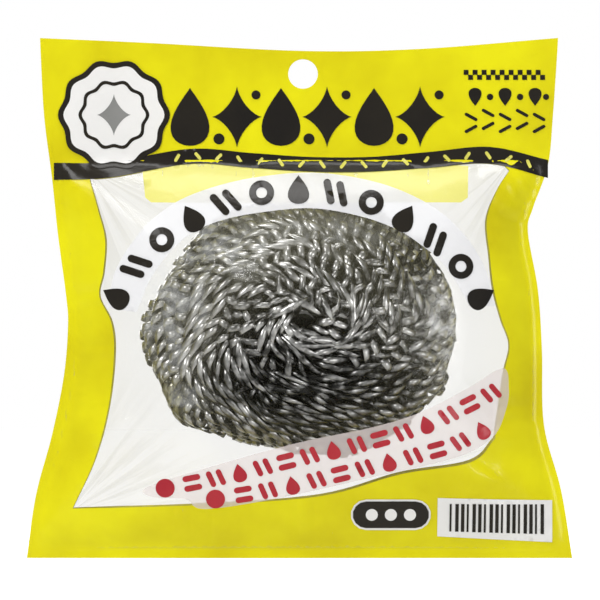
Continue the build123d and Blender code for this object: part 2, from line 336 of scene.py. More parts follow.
def settle(sheets, calm, free):
    """Moves the free points until the film keeps its cut lengths and lies on the scourer."""
    loose = np.broadcast_to(free, (2, ROWS, COLUMNS, 1))
    ties = []
    for one, two, stiff, ease in film_links():
        rows = min(sheets[one].shape[1], sheets[two].shape[1])
        cols = min(sheets[one].shape[2], sheets[two].shape[2])
        cut = (slice(None), slice(rows), slice(cols))
        rest = np.linalg.norm(calm[two][cut] - calm[one][cut], axis=-1, keepdims=True) * ease
        ends = (sheets[one][cut], sheets[two][cut], loose[one][cut], loose[two][cut])
        ties.append((*ends, rest, stiff))
    before = sheets.copy()
    for _ in range(ROUNDS):
        push = (sheets - before) * DAMPING * free
        before[:] = sheets
        sheets += push
        sheets[:, :, :, 1] += GRID_WAYS * PRESSURE * free[..., 0]
        for _ in range(CORRECTIONS):
            for a, b, free_a, free_b, rest, stiff in ties:
                step = b - a
                size = np.sqrt((step**2).sum(-1, keepdims=True)) + TINY
                move = step * (stiff * (size - rest) / size / np.maximum(free_a + free_b, 1))
                a += move * free_a
                b -= move * free_b
            off_scourer(sheets, free)


def grid_tree(points):
    """Search tree of a sheet's surface."""
    rows, cols, _ = points.shape
    index = np.arange(rows * cols).reshape(rows, cols)
    corners = [index[:-1, :-1], index[:-1, 1:], index[1:, 1:], index[1:, :-1]]
    quads = np.stack(corners, -1).reshape(-1, 4)
    return BVHTree.FromPolygons([Vector(p) for p in points.reshape(-1, 3)], quads.tolist())


TREES = [grid_tree(sheet) for sheet in pouch_sheets()]
# Where a search for a film starts: well off the pouch, or near the middle plane
OFF_POUCH = 0.2
NEAR_MIDDLE = 0.001


def film_depth(x, z, side):
    """Y of the front (side 0) or back film at a place."""
    way = WAYS[side]
    place = TREES[side].ray_cast(Vector((x, way * OFF_POUCH, z)), Vector((0, -way, 0)))[0]
    if place is None:
        place = TREES[side].find_nearest(Vector((x, way * NEAR_MIDDLE, z)))[0]
    return place.y


# Steps that the materials are built from. The id_data of a node or socket is its tree.
def filled(node, **values):
    """A node with values on its inputs."""
    for name, value in values.items():
        node.inputs[name.replace("_", " ")].default_value = value
    return node


def new_node(beside, kind, **values):
    """A new node in the tree of a node or socket."""
    return filled(beside.id_data.nodes.new("ShaderNode" + kind), **values)


def link(output, entry):
    """Links an output to an input."""
    output.id_data.links.new(output, entry)


def material(name, colour, **values):
    """A named material and its main shader."""
    made = bpy.data.materials.new(name)
    made.use_nodes = True
    shader = made.node_tree.nodes["Principled BSDF"]
    return made, filled(shader, Base_Color=(*colour, 1), **values)


def combine(kind, one, two):
    """Result of a math step on two sockets, or on a socket and a number."""
    step = new_node(two if isinstance(one, float) else one, "Math")
    step.operation = kind
    for entry, value in zip(step.inputs, (one, two)):
        if isinstance(value, float):
            entry.default_value = value
        else:
            link(value, entry)
    return step.outputs[0]


times = partial(combine, "MULTIPLY")
plus = partial(combine, "ADD")


def greatest(values):
    """The greatest of several sockets."""
    most = values[0]
    for value in values[1:]:
        most = combine("MAXIMUM", most, value)
    return most


def sharpened(value, start, gain, low=0.0, high=1.0):
    """A socket less start, times gain, kept between low and high."""
    rise = times(combine("SUBTRACT", value, start), gain)
    return combine("MINIMUM", combine("MAXIMUM", rise, low), high)


def vector_step(kind, vector, constant=(0, 0, 0)):
    """A vector math step on a socket and a constant."""
    step = new_node(vector, "VectorMath")
    step.operation = kind
    step.inputs[1].default_value = constant
    link(vector, step.inputs[0])
    return step


def noise_at(place, scale, detail=2, distortion=0):
    """Noise at a place, from 0 to 1."""
    noise = new_node(place, "TexNoise", Scale=scale, Detail=detail, Distortion=distortion)
    link(place, noise.inputs["Vector"])
    return noise.outputs["Fac"]


def mottle(shader, colour, other, scale, detail=4):
    """Colour that drifts softly between two tones. Returns the surface's place and colour."""
    place = new_node(shader, "TexCoord").outputs["Object"]
    ramp = new_node(shader, "ValToRGB")
    for k, (stop, tone) in enumerate(((0.35, other), (0.65, colour))):
        ramp.color_ramp.elements[k].position = stop
        ramp.color_ramp.elements[k].color = (*tone, 1)
    link(noise_at(place, scale, detail), ramp.inputs["Fac"])
    link(ramp.outputs["Color"], shader.inputs["Base Color"])
    return place, ramp.outputs["Color"]


def tinted(colour, tint, share):
    """A colour moved towards a tint by a share."""
    mix = new_node(colour, "Mix")
    mix.data_type = "RGBA"
    filled(mix, B=(*tint, 1))
    link(share, mix.inputs["Factor"])
    link(colour, mix.inputs["A"])
    return mix.outputs["Result"]


def emboss(shader, height, strength, distance):
    """Bump of a shader's surface by a height."""
    bump = new_node(shader, "Bump", Strength=strength, Distance=distance)
    link(height, bump.inputs["Height"])
    link(bump.outputs["Normal"], shader.inputs["Normal"])


def crinkle(shader, place, strength, distance=0.0004):
    """Fine creases of thin film, as bump."""
    cells = new_node(place, "TexVoronoi", Scale=55)
    cells.feature = "DISTANCE_TO_EDGE"
    link(place, cells.inputs["Vector"])
    fine = noise_at(place, scale=160, detail=5, distortion=1.2)
    facets = times(cells.outputs["Distance"], 0.35)
    emboss(shader, plus(facets, fine), strength, distance)


def patch(place, centre, reach):
    """Soft round share, 1 at a pixel of the photograph and 0 at its reach in pixels."""
    x, z = spot(centre)
    away = vector_step("SUBTRACT", place, (x, 0, z)).outputs[0]
    shrink = (1 / (reach[0] * PIXEL), 0, 1 / (reach[1] * PIXEL))
    far = vector_step("LENGTH", vector_step("MULTIPLY", away, shrink).outputs[0])
    share = new_node(place, "MapRange", From_Min=0.25, From_Max=1.0, To_Min=1.0, To_Max=0.0)
    share.interpolation_type = "SMOOTHSTEP"
    link(far.outputs["Value"], share.inputs["Value"])
    return share.outputs["Result"]


def rays(place, corner, reach):
    """Streaks of painted crease shade out from a corner of the window, 0 to 1, fading at their
    reach in pixels.
    """
    x, z = spot(corner)
    split = new_node(place, "SeparateXYZ")
    link(vector_step("SUBTRACT", place, (x, 0, z)).outputs[0], split.inputs[0])
    right, up = split.outputs["X"], split.outputs["Z"]
    polar = new_node(place, "CombineXYZ")
    turn = combine("ARCTAN2", up, right)
    link(times(turn, STREAKS_PER_RADIAN), polar.inputs["X"])
    link(times(plus(right, up), STREAK_CHANGES), polar.inputs["Y"])
    streaks = noise_at(polar.outputs[0], scale=1.0, detail=3)
    sharp = sharpened(streaks, start=0.46, gain=7.0)
    return times(sharp, patch(place, corner, reach))


# Painted sheen on the film over the scourer, a whitish haze: centre and reach in pixels, and
# strength
PAINTED_SHEEN = (
    ((176, 312), (52, 96), 0.26),
    ((222, 250), (86, 46), 0.20),
    ((440, 326), (24, 76), 0.20),
    ((186, 396), (34, 24), 0.24),
    ((308, 236), (120, 30), 0.14),
)
PAINTED_SHEEN_TINT = (0.74, 0.745, 0.70)
PAINTED_SHEEN_TINTING = 5.0
# The clear film's alpha: least, most, and what a view aslant adds as painted sheen on creases
CLEAR_ALPHA = 0.045
MOST_ALPHA = 0.8
ASLANT_SHEEN_ALPHA = 0.7
ASLANT_POWER = 1.2
# Where it is taut and clearest, and what its alpha loses there
TAUT = ((300, 372), (160, 100))
TAUT_LOSS = 0.85
# The back film's alpha, and what streaks of painted crease shade from the window's corners add
MILKY_ALPHA = 0.14
CREASE_SHADE_ALPHA = 0.13
STREAKS_PER_RADIAN = 9.0
STREAK_CHANGES = 22.0
CORNERS = (
    ((66, 516), (190, 190)),
    ((512, 160), (90, 150)),
    ((506, 446), (110, 90)),
    ((86, 168), (110, 170)),
)


def clear_material():
    """Clear film: faintly creamy, with painted sheen as haze over the scourer, whiter aslant as
    painted sheen on creases, clearest where taut.
    """
    made, shader = material(
        "clear_film", (0.62, 0.60, 0.50),
        Roughness=0.10, Specular_IOR_Level=1.0, Coat_Weight=1.0, Coat_Roughness=0.05,
    )
    place, colour = mottle(shader, (0.88, 0.84, 0.58), (0.64, 0.60, 0.38), scale=24)
    crinkle(shader, place, strength=0.6)
    # Painted sheen: patches that whiten the film and raise its alpha over the scourer
    sheens = [times(patch(place, *where), share) for *where, share in PAINTED_SHEEN]
    broken = sharpened(
        noise_at(place, scale=240, detail=6), start=0.38, gain=5.0, low=0.1, high=1.2
    )
    sheen = times(greatest(sheens), broken)
    sheen_share = combine("MINIMUM", times(sheen, PAINTED_SHEEN_TINTING), 1.0)
    link(tinted(colour, PAINTED_SHEEN_TINT, sheen_share), shader.inputs["Base Color"])
    # Painted sheen: the film is whiter where it is seen aslant, as on its creases
    facing = new_node(shader, "LayerWeight", Blend=0.5).outputs["Facing"]
    aslant = times(combine("POWER", facing, ASLANT_POWER), ASLANT_SHEEN_ALPHA)
    alpha = plus(plus(sheen, aslant), CLEAR_ALPHA)
    taut = times(patch(place, *TAUT), -TAUT_LOSS)
    alpha = times(alpha, plus(taut, 1.0))
    link(combine("MINIMUM", alpha, MOST_ALPHA), shader.inputs["Alpha"])
    return made


def milky_material():
    """The back film, creamier than the front, with painted crease shade in streaks from the
    window's corners.
    """
    made, shader = material(
        "milky_film", (0.95, 0.90, 0.50), Roughness=0.3, Specular_IOR_Level=0.3
    )
    place, _ = mottle(shader, (0.80, 0.76, 0.44), (0.62, 0.59, 0.34), scale=40)
    crinkle(shader, place, strength=0.8, distance=0.0008)
    # Painted shade along the film's creases, in streaks from the window's corners
    streaks = greatest([rays(place, *where) for where in CORNERS])
    streaks = times(streaks, CREASE_SHADE_ALPHA)
    link(plus(streaks, MILKY_ALPHA), shader.inputs["Alpha"])
    return made


def print_material(name, colour, other, alpha=1.0):
    """Glossy ink under film."""
    made, shader = material(
        name, colour, Roughness=0.22, Coat_Weight=0.15, Coat_Roughness=0.1,
        Specular_IOR_Level=0.15, Alpha=alpha,
    )
    place, _ = mottle(shader, colour, other, scale=30)
    crinkle(shader, place, strength=0.5)
    return made


# Painted light and shade on the scourer, and a painted reflection of the yellow print at its
# lower left: centres and reaches in pixels
SHADED_FOOT = ((298, 390), (132, 60))
LIT_PARTS = (((182, 306), (74, 112)), ((240, 236), (120, 50)))
YELLOW_BOUNCE_CORNER = ((166, 404), (28, 38))
YELLOW_BOUNCE = (0.24, 0.22, 0.07)
# How far painted shade darkens the foot, everywhere and in patches, and shares of the painted
# light and of the painted yellow reflection
FOOT_SHADE = 0.36
FOOT_SHADE_PATCHES = 0.60
LIT_SHARE = 0.55
YELLOW_BOUNCE_SHARE = 0.7


def steel_material(name, bright, dark):
    """Steel ribbon with drawn lines, a random tone, painted shade over its foot, painted light
    on its left and top and a painted reflection of the yellow print.
    """
    made, shader = material(name, bright, Roughness=0.28, Metallic=1.0)
    place, colour = mottle(shader, bright, dark, scale=300, detail=3)
    dimmed = vector_step("SCALE", colour)
    # Painted shade over the scourer's foot, deepened in random patches
    gate = sharpened(noise_at(place, scale=260), start=0.42, gain=9.0)
    painted_shade = plus(times(gate, FOOT_SHADE_PATCHES), FOOT_SHADE)
    painted_shade = times(patch(place, *SHADED_FOOT), painted_shade)
    link(combine("SUBTRACT", 1.0, painted_shade), dimmed.inputs["Scale"])
    # Painted light on the left and the top of the scourer
    pale = greatest([patch(place, *part) for part in LIT_PARTS])
    colour = tinted(dimmed.outputs[0], bright, times(pale, LIT_SHARE))
    # Painted reflection of the yellow print, olive, at the scourer's lower left
    yellow_bounce = times(patch(place, *YELLOW_BOUNCE_CORNER), YELLOW_BOUNCE_SHARE)
    link(tinted(colour, YELLOW_BOUNCE, yellow_bounce), shader.inputs["Base Color"])
    emboss(shader, noise_at(place, scale=2600), strength=0.25, distance=0.00005)
    return made


CLEAR = clear_material()
MILKY = milky_material()
YELLOW = print_material("yellow_ink", (0.83, 0.77, 0.004), (0.66, 0.57, 0.002))
BLACK = print_material("black_ink", (0.012, 0.010, 0.008), (0.022, 0.018, 0.012))
WHITE = print_material("white_ink", (0.86, 0.85, 0.83), (0.80, 0.79, 0.77))
GREY = print_material("grey_ink", (0.30, 0.30, 0.29), (0.22, 0.22, 0.21))
RED = print_material("red_ink", (0.42, 0.02, 0.035), (0.50, 0.04, 0.05))
PALE_YELLOW = print_material("pale_yellow_ink", (0.84, 0.80, 0.16), (0.80, 0.75, 0.12), 0.85)
VEIL = print_material("white_veil", (0.88, 0.88, 0.90), (0.84, 0.84, 0.86), 0.8)
BLUSH = print_material("blush_veil", (0.84, 0.76, 0.74), (0.80, 0.70, 0.68), 0.58)
STEEL = steel_material("curled_steel", (0.64, 0.637, 0.62), (0.06, 0.059, 0.056))
# A copy of the steel painted darker, as the shade inside the scourer, for its inner layers
SHADED_STEEL = steel_material("shaded_inner_steel", (0.10, 0.099, 0.094), (0.010, 0.009, 0.008))
# The packed steel at the core, painted near-black as the shade deep between the curls
SHADED_CORE, SHADED_PACKED = material("packed_steel", (0.03, 0.03, 0.028), Roughness=0.6, Metallic=0.5)
mottle(SHADED_PACKED, (0.05, 0.05, 0.046), (0.008, 0.008, 0.007), scale=700, detail=2)


def add_object(name, data):
    """An object of some data, in the scene."""
    made = bpy.data.objects.new(name, data)
    SCENE.collection.objects.link(made)
    return made


def add_mesh(name, points, faces, made):
    """A smooth mesh piece with its place in its mesh."""
    mesh = bpy.data.meshes.new(name)
    mesh.from_pydata([tuple(p) for p in points], [], faces)
    mesh.materials.append(made)
    mesh.polygons.foreach_set("use_smooth", [True] * len(mesh.polygons))
    mesh.update()
    return add_object(name, mesh)


def declare(piece, node):
    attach(piece, "root")
    if node:
        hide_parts(node)


def inside(points, ring):
    """Which points lie within a closed ring."""
    x, z = points[:, 0][:, None], points[:, 1][:, None]
    a, b = ring, np.roll(ring, -1, axis=0)
    ax, az, bx, bz = a[:, 0], a[:, 1], b[:, 0], b[:, 1]
    across = (az > z) != (bz > z)
    with np.errstate(divide="ignore", invalid="ignore"):
        cut = (bx - ax) * (z - az) / (bz - az) + ax
    return (np.sum(across & (x < cut), axis=1) % 2) == 1


def within(points, rings):
    """Which points lie inside the first ring and outside the others."""
    keep = inside(points, rings[0])
    for hole in rings[1:]:
        keep &= ~inside(points, hole)
    return keep


def ring_distance(points, ring):
    """Distance of points from a ring's sides."""
    best = np.full(len(points), np.inf)
    for start, end in zip(ring, np.roll(ring, -1, axis=0)):
        way = end - start
        size = max((way**2).sum(), TINY_SHARE**2)
        t = np.clip(((points - start) @ way) / size, 0, 1)
        best = np.minimum(best, np.hypot(*(points - start - t[:, None] * way).T))
    return best


# Share of the spacing that inner points keep from a ring, and distance of equal points
RING_ROOM = 0.45
SAME_POINT = 1e-7


def drape(rings, lift, side, spacing):
    """A flat shape laid on the film: its first ring is the outside, the rest are holes."""
    rings = [np.array(r, dtype=float) for r in rings]
    low, high = rings[0].min(0), rings[0].max(0)
    cols = max(int((high[0] - low[0]) / spacing), 1)
    rows = max(int((high[1] - low[1]) / spacing), 1)
    xs = low[0] + (np.arange(cols) + 0.5) * (high[0] - low[0]) / cols
    zs = low[1] + (np.arange(rows) + 0.5) * (high[1] - low[1]) / rows
    inner = np.array([(x, z) for z in zs for x in xs])
    inner = inner[within(inner, rings)]
    for ring in rings:
        if len(inner):
            inner = inner[ring_distance(inner, ring) > spacing * RING_ROOM]
    flat, edges = [], []
    for ring in rings:
        fine = []
        for start, end in zip(ring, np.roll(ring, -1, axis=0)):
            parts = max(int(math.hypot(*(end - start)) / spacing + 0.5), 1)
            fine += [start + (end - start) * k / parts for k in range(parts)]
        first = len(flat)
        flat += fine
        edges += [(first + k, first + (k + 1) % len(fine)) for k in range(len(fine))]
    flat += list(inner)
    found = delaunay_2d_cdt([Vector(p) for p in flat], edges, [], 0, SAME_POINT)
    points = np.array([tuple(p) for p in found[0]])
    faces = np.array([tuple(f) for f in found[2] if len(f) == 3])
    faces = faces[within(points[faces].mean(axis=1), rings)]
    used = np.unique(faces)
    order = np.full(len(points), -1)
    order[used] = np.arange(len(used))
    faces = order[faces]
    draped = [(x, film_depth(x, z, side) + WAYS[side] * lift, z) for x, z in points[used]]
    return draped, faces if side == 0 else faces[:, ::-1]


def lay(name, shapes, made, lift, side=0, spacing=0.0011):
    """One piece of print made of several shapes on the film."""
    points, faces = [], []
    for rings in shapes:
        draped, found = drape(rings, lift, side, spacing)
        faces += (found + len(points)).tolist()
        points += draped
    return add_mesh(name, points, faces, made)


# Plain shapes, and the signs of a rectangle's corners in turn
CORNER_SIGNS = ((-1, -1), (1, -1), (1, 1), (-1, 1))


def disc(centre, radius, steps=32):
    """A round."""
    turns = np.arange(steps) * 2 * math.pi / steps
    across, along = centre[0] + radius * np.cos(turns), centre[1] + radius * np.sin(turns)
    return np.stack([across, along], 1)


def box(centre, wide, tall):
    """An upright rectangle."""
    x, y = centre
    return [(x + a * wide / 2, y + b * tall / 2) for a, b in CORNER_SIGNS]


def bar(length, width, steps=8):
    """A bar with round ends, along the first axis."""
    half, round_ = (length - width) / 2, width / 2
    turns = np.linspace(0, math.pi, steps)
    right = [(half + round_ * math.sin(a), -round_ * math.cos(a)) for a in turns]
    return right + [(-x, -y) for x, y in right]


def drop(wide, tall, steps=30):
    """A water drop, its tip up."""
    turns = np.arange(steps) * 2 * math.pi / steps
    belly = [wide / 1.6 * math.sin(t) * abs(math.sin(t / 2)) ** 1.2 for t in turns]
    return [(x, -tall / 2 * math.cos(t)) for x, t in zip(belly, turns)]


def sparkle(wide, tall, steps=40, hollow=2.9):
    """A glint with four points."""
    ring = []
    for turn in np.arange(steps) * 2 * math.pi / steps:
        x, y = math.cos(turn), math.sin(turn)
        x, y = math.copysign(abs(x) ** hollow, x), math.copysign(abs(y) ** hollow, y)
        ring.append((wide / 2 * x, tall / 2 * y))
    return ring


def scallop(radius, rise, waves=10, steps=96):
    """A round with a wavy edge."""
    ring = []
    for turn in np.arange(steps) * 2 * math.pi / steps:
        reach = radius + rise * math.cos(waves * turn)
        ring.append((reach * math.cos(turn), reach * math.sin(turn)))
    return ring


def placed(ring, centre, turn=0.0):
    """A shape drawn round the origin, turned and put at a pixel."""
    c, s = math.cos(turn), math.sin(turn)
    x, y = np.array(ring, dtype=float).T
    return np.stack([centre[0] + c * x - s * y, centre[1] + s * x + c * y], 1)


def two_bars(at, way, apart, turn, **size):
    """Two bars beside each other, each this far from a pixel along a way."""
    centres = [(at[0] + slide * way[0], at[1] + slide * way[1]) for slide in (-apart, apart)]
    return [[placed(bar(**size), centre, turn)] for centre in centres]


def running(steps):
    """Length run at each point of a line, from the lengths of its steps."""
    return np.concatenate([[0], np.cumsum(steps)])


def frame_of(line, at, reach=0.01):
    """Point of a line at a share of its length, and its turn there over a reach each way."""
    run = running(np.hypot(*np.diff(line, axis=0).T))
    shares = (at, min(at + reach, 1), max(at - reach, 0))
    x, ahead_x, back_x = (np.interp(share * run[-1], run, line[:, 0]) for share in shares)
    y, ahead_y, back_y = (np.interp(share * run[-1], run, line[:, 1]) for share in shares)
    return (x, y), math.atan2(ahead_y - back_y, ahead_x - back_x)


# Outlines in pixels: the window's sides and the band
WINDOW_LEFT_PX = [
    (89, 176), (99, 211), (106, 240), (104, 272), (100, 296),
    (112, 322), (115, 354), (109, 408), (95, 460), (73, 508),
]
WINDOW_FOOT_PX = [(73, 508), (200, 504), (320, 495), (400, 473), (470, 461), (494, 438)]
WINDOW_RIGHT_PX = [
    (494, 438), (503, 375), (509, 345), (501, 320), (493, 290),
    (489, 256), (486, 220), (497, 190), (511, 168),
]
BAND_TOP_PX = [
    (54, 163), (110, 162), (190, 149), (250, 153), (310, 157),
    (370, 157), (430, 152), (490, 147), (548, 160),
]
BAND_FOOT_PX = [
    (548, 178), (490, 164), (430, 168), (370, 172), (310, 172),
    (250, 168), (190, 164), (110, 178), (54, 180),
]
# Ends of the part of the band's foot that is the window's top
WINDOW_TOP_PX = (91, 509)
# Arched white veil over the top of the scourer
VEIL_OUT_PX = [
    (108, 308), (116, 272), (134, 242), (158, 216), (186, 198), (226, 184), (268, 176),
    (312, 173), (356, 178), (398, 190), (436, 210), (464, 236), (484, 268), (494, 306),
]
VEIL_IN_PX = [
    (468, 306), (456, 284), (440, 262), (418, 244), (396, 230), (360, 217), (312, 209),
    (262, 213), (222, 221), (192, 234), (168, 256), (150, 282), (138, 312),
]
# Pale yellow panel at the window's top, and the rising veil behind the red rows
PANEL_PX = [
    (143, 172), (146, 198), (152, 203), (240, 204), (360, 203), (460, 203), (467, 198),
    (468, 166), (430, 164), (370, 168), (310, 168), (250, 164), (190, 160),
]
BLUSH_PX = [
    (148, 486), (220, 463), (300, 441), (372, 426), (420, 411), (466, 388), (502, 368),
    (508, 388), (505, 410), (492, 436), (456, 456), (368, 477), (284, 496), (206, 508),
    (186, 498), (154, 496),
]
LABEL_PX = [(437, 497), (552, 500), (552, 542), (437, 536)]


def pouch_ring(foot_px):
    """The pouch's outline down to a given foot."""
    foot = spot((0, foot_px))[1]
    top = TOP_EDGE
    right = RIGHT_EDGE[(RIGHT_EDGE[:, 1] < top[-1][1] - MM) & (RIGHT_EDGE[:, 1] > foot)]
    left = LEFT_EDGE[(LEFT_EDGE[:, 1] < top[0][1] - MM) & (LEFT_EDGE[:, 1] > foot)]
    corners = np.array([(right_at(foot), foot), (left_at(foot), foot)])
    return np.concatenate([top, right, corners, left[::-1]])


def window_ring():
    """The clear window's outline, whose top is the band's foot."""
    sides = [curve_through(side) for side in (WINDOW_LEFT_PX, WINDOW_FOOT_PX, WINDOW_RIGHT_PX)]
    band = curve_through(BAND_FOOT_PX)
    band = band[(band[:, 0] < WINDOW_TOP_PX[1]) & (band[:, 0] > WINDOW_TOP_PX[0])]
    return pixels(np.concatenate([side[:-1] for side in sides] + [band]))


# How far each layer of print stands off the film
INK = 0.10 * MM
OVERPRINT = 0.28 * MM
TOP_PRINT = 0.44 * MM
LAST_PRINT = 0.60 * MM
PLATE_PRINT = LAST_PRINT + 0.05 * MM

HOLE = disc((0, 0), HOLE_RADIUS, steps=48)
FILM = [pouch_ring(FOOT_PX), HOLE]
INKED = [pouch_ring(PRINT_FOOT_PX), HOLE, window_ring()]
# Name, rings, material, height off the film, side, slot and CAD node
SHEETS = (
    ("front_film_sheet", FILM, CLEAR, 0.0, 0, "clear_film", "front_film"),
    ("back_film_sheet", FILM, MILKY, 0.0, 1, "clear_film", "back_film"),
    ("front_yellow_print", INKED, YELLOW, INK, 0, "yellow_print", "front_print"),
    ("back_yellow_print", INKED, YELLOW, INK, 1, "yellow_print", "back_print"),
)
for name, rings, made, lift, side, slot, node in SHEETS:
    declare(lay(name, [rings], made, lift, side), node)

# Two rising rows in red: line and number of places
ROW_LINES = (
    ([(166, 487), (230, 474), (320, 452), (372, 440), (424, 424), (470, 403), (508, 383)], 15),
    ([(216, 498), (284, 486), (368, 466), (420, 453), (456, 442), (500, 420)], 12),
)
# Header: a row of drops and glints, and a wavy-edged plate at its left
HEADER_X = (190, 237, 281, 327, 374, 420)
HEADER_Y = 117
PLATE_PX = (114, 115)
# Pill at the foot
PILL_PX = (390.5, 514)


def arc_motifs(centre=(298.5, 398), radius=208, reach=math.radians(61), count=13):
    """Drops, pairs of bars and rings by turns, along the arch."""
    shapes = []
    for k in range(count):
        turn = -reach + 2 * reach * k / (count - 1)
        c, s = math.cos(turn), math.sin(turn)
        at = (centre[0] + radius * s, centre[1] - radius * c)
        if k % 3 == 0:
            shapes.append([placed(drop(wide=23, tall=29), at, turn)])
        elif k % 3 == 1:
            shapes += two_bars(at, (c, s), 6.5, turn + 1.2, length=26, width=7.5)
        else:
            shapes.append([disc(at, radius=12.5), disc(at, radius=5.5)])
    return shapes


def row_motifs():
    """Discs, bars that lie, bars that lean and drops, along the two red rows."""
    shapes = []
    for points, count in ROW_LINES:
        line = curve_through(points)
        shapes.append([disc(line[0], radius=9.5)])
        for k in range(1, count):
            at, turn = frame_of(line, (k + 0.15) / count)
            c, s = math.cos(turn), math.sin(turn)
            if k % 4 == 3:
                shapes.append([placed(drop(wide=15, tall=19), at, turn)])
            elif k % 2:
                shapes += two_bars(at, (-s, c), 5, turn, length=18, width=6.0)
            else:
                shapes += two_bars(at, (c, s), 5, turn + 1.35, length=17, width=5.5)
    return shapes


def header_motifs():
    """Large drops and glints by turns, with small dots at the glints."""
    shapes = []
    for k, x in enumerate(HEADER_X):
        large = sparkle(wide=50, tall=62) if k % 2 else drop(wide=42, tall=58)
        shapes.append([placed(large, (x, HEADER_Y))])
        if k % 2:
            shapes.append([disc((x + 19, HEADER_Y - 22), radius=4.5)])
            shapes.append([disc((x - 18, HEADER_Y + 22), radius=5.5)])
    return shapes


def check_motifs(start=(466, 72.5), rows=2, columns=9, step=(9, 5)):
    """A check strip, drops with dots between them and a row of arrows."""
    shapes = []
    for row in range(rows):
        for k in range(columns):
            at = (start[0] + step[0] * (k + row / 2), start[1] + step[1] * row)
            shapes.append([box(at, wide=4.8, tall=5)])
    for k, (x, radius) in enumerate(((490, 3.2), (520, 3.2), (546, 3.0))):
        shapes.append([placed(drop(wide=14, tall=18), (475 + 30 * k, 97), math.pi)])
        shapes.append([disc((x, 97), radius)])
    for k in range(5):
        x = 471 + 17 * k
        for y, turn in ((117 - 4 * (k % 2), 0.5), (129 - 3 * (k % 2), -0.5)):
            shapes.append([placed(bar(length=14, width=3.2), (x, y), turn)])
    return shapes


def band_motifs(count=18, start=0.25, span=0.71, lean=0.9):
    """Small dashes along the band's middle, which lean to both sides by turns."""
    line = (curve_through(BAND_TOP_PX) + curve_through(BAND_FOOT_PX)[::-1]) / 2
    shapes = []
    for k in range(count):
        at, turn = frame_of(line, start + span * k / (count - 1))
        turn += lean if k % 2 else -lean
        shapes.append([placed(bar(length=9, width=3.2), at, turn)])
    return shapes


def stripe_motifs(count=17, left=449, step=5.7):
    """Even stripes of two widths on the label, which encode nothing."""
    shapes = []
    for k in range(count):
        shift = step * k
        x = left + shift
        wide = 3.4 if k % 3 else 2.0
        top, foot = 503 + 0.01 * shift, 531 + 0.03 * shift
        shapes.append([[(x, top), (x + wide, top), (x + wide, foot), (x, foot)]])
    return shapes


def plate(radius, rise=1.5):
    """A wavy round about the plate's middle."""
    return placed(scallop(radius, rise), PLATE_PX)


VEIL_RING = np.concatenate([curve_through(VEIL_OUT_PX), curve_through(VEIL_IN_PX)])
BAND_RING = np.concatenate([curve_through(BAND_TOP_PX), curve_through(BAND_FOOT_PX)])
BLUSH_RING = curve_through(BLUSH_PX, closed=True)
PILL_DOTS = [[disc((PILL_PX[0] + shift, PILL_PX[1]), 6)] for shift in (-19, 0, 19)]

# Name, CAD node, shapes in pixels, ink, height off the film and spacing of the mesh
PRINTS = (
    ("pale_yellow_panel", "top_veil", [[PANEL_PX]], PALE_YELLOW, INK, 0.0018),
    ("white_veil", "arch_veil", [[VEIL_RING]], VEIL, OVERPRINT, 0.0013),
    ("blush_veil", "rise_veil", [[BLUSH_RING]], BLUSH, OVERPRINT, 0.0015),
    ("black_band", "band_print", [[BAND_RING]], BLACK, OVERPRINT, 0.0014),
    ("band_dashes", None, band_motifs(), PALE_YELLOW, TOP_PRINT, 0.001),
    ("arched_motifs", None, arc_motifs(), BLACK, TOP_PRINT, 0.001),
    ("red_rows", None, row_motifs(), RED, TOP_PRINT, 0.001),
    ("plate_edge", "plate_print", [[plate(54, rise=2)]], BLACK, TOP_PRINT, 0.0016),
    ("plate_face", "plate_print", [[plate(48.5, rise=2)]], WHITE, LAST_PRINT, 0.0016),
    ("plate_rim", None, [[plate(34), plate(30.5)]], BLACK, PLATE_PRINT, 0.0012),
    ("plate_glint", None, [[placed(sparkle(34, 42), PLATE_PX)]], GREY, PLATE_PRINT, 0.0012),
    ("header_motifs", None, header_motifs(), BLACK, OVERPRINT, 0.0012),
    ("check_motifs", None, check_motifs(), BLACK, OVERPRINT, 0.0011),
    ("pill_edge", "pill_print", [[placed(bar(80, 31), PILL_PX)]], WHITE, OVERPRINT, 0.0013),
    ("pill", "pill_print", [[placed(bar(76, 27), PILL_PX)]], BLACK, TOP_PRINT, 0.0013),
    ("pill_dots", None, PILL_DOTS, WHITE, LAST_PRINT, 0.001),
    ("white_panel", "label_print", [[LABEL_PX]], WHITE, OVERPRINT, 0.0014),
    ("panel_stripes", None, stripe_motifs(), BLACK, TOP_PRINT, 0.001),
)
for name, node, shapes, made, lift, spacing in PRINTS:
    flat = [[pixels(ring) for ring in rings] for rings in shapes]
    piece = lay(name, flat, made, lift, spacing=spacing)
    declare(piece, node)

# Curled steel ribbon, wound round the scourer from one face to the other
CURL_RADIUS = 0.0022
CURL_PITCH = 0.0036
RIBBON_WIDE = 0.0019
RIBBON_THICK = 0.00014
STEPS_PER_CURL = 12
STEPS_PER_ROUND = 90
# Layers from the outside in: depth, rounds, seed and narrowing where the curls lie loose
LAYERS = ((0.0003, 26, 1, 0.24), (0.0024, 24, 2, 0.90), (0.0048, 20, 3, 0.97))
# Angle left free round each pole, and the swirl's shift up on the faces
POLE_GAP = 0.10
POLAR_STEPS = 400
SWIRL_SHIFT = 0.003
# Waves of the spiral's size, as shares, and of its depth, in metres: height, beats round the
# scourer and along the meridian, and share of the seed
WANDERS = ((0.035, 3, 2.1, 1), (0.03, 7, -5, 0))
SINKS = ((0.0011, 5, 3, 1), (0.0007, 11, 0, 2))
# Lobes of the scourer: their turns and swells, and their breadth
SWELLS = ((3.75, 0.085), (0.0, 0.045))
SWELL_BREADTH = 0.09
# Room between the curls and the scourer's faces, and between their middle line and the film,
# and the share of that room from which they are pressed inwards
FACE_MARGIN = 0.0008
FILM_MARGIN = 0.0023
PRESS_FROM = 0.8
LEAST_ROOM = 0.1 * MM
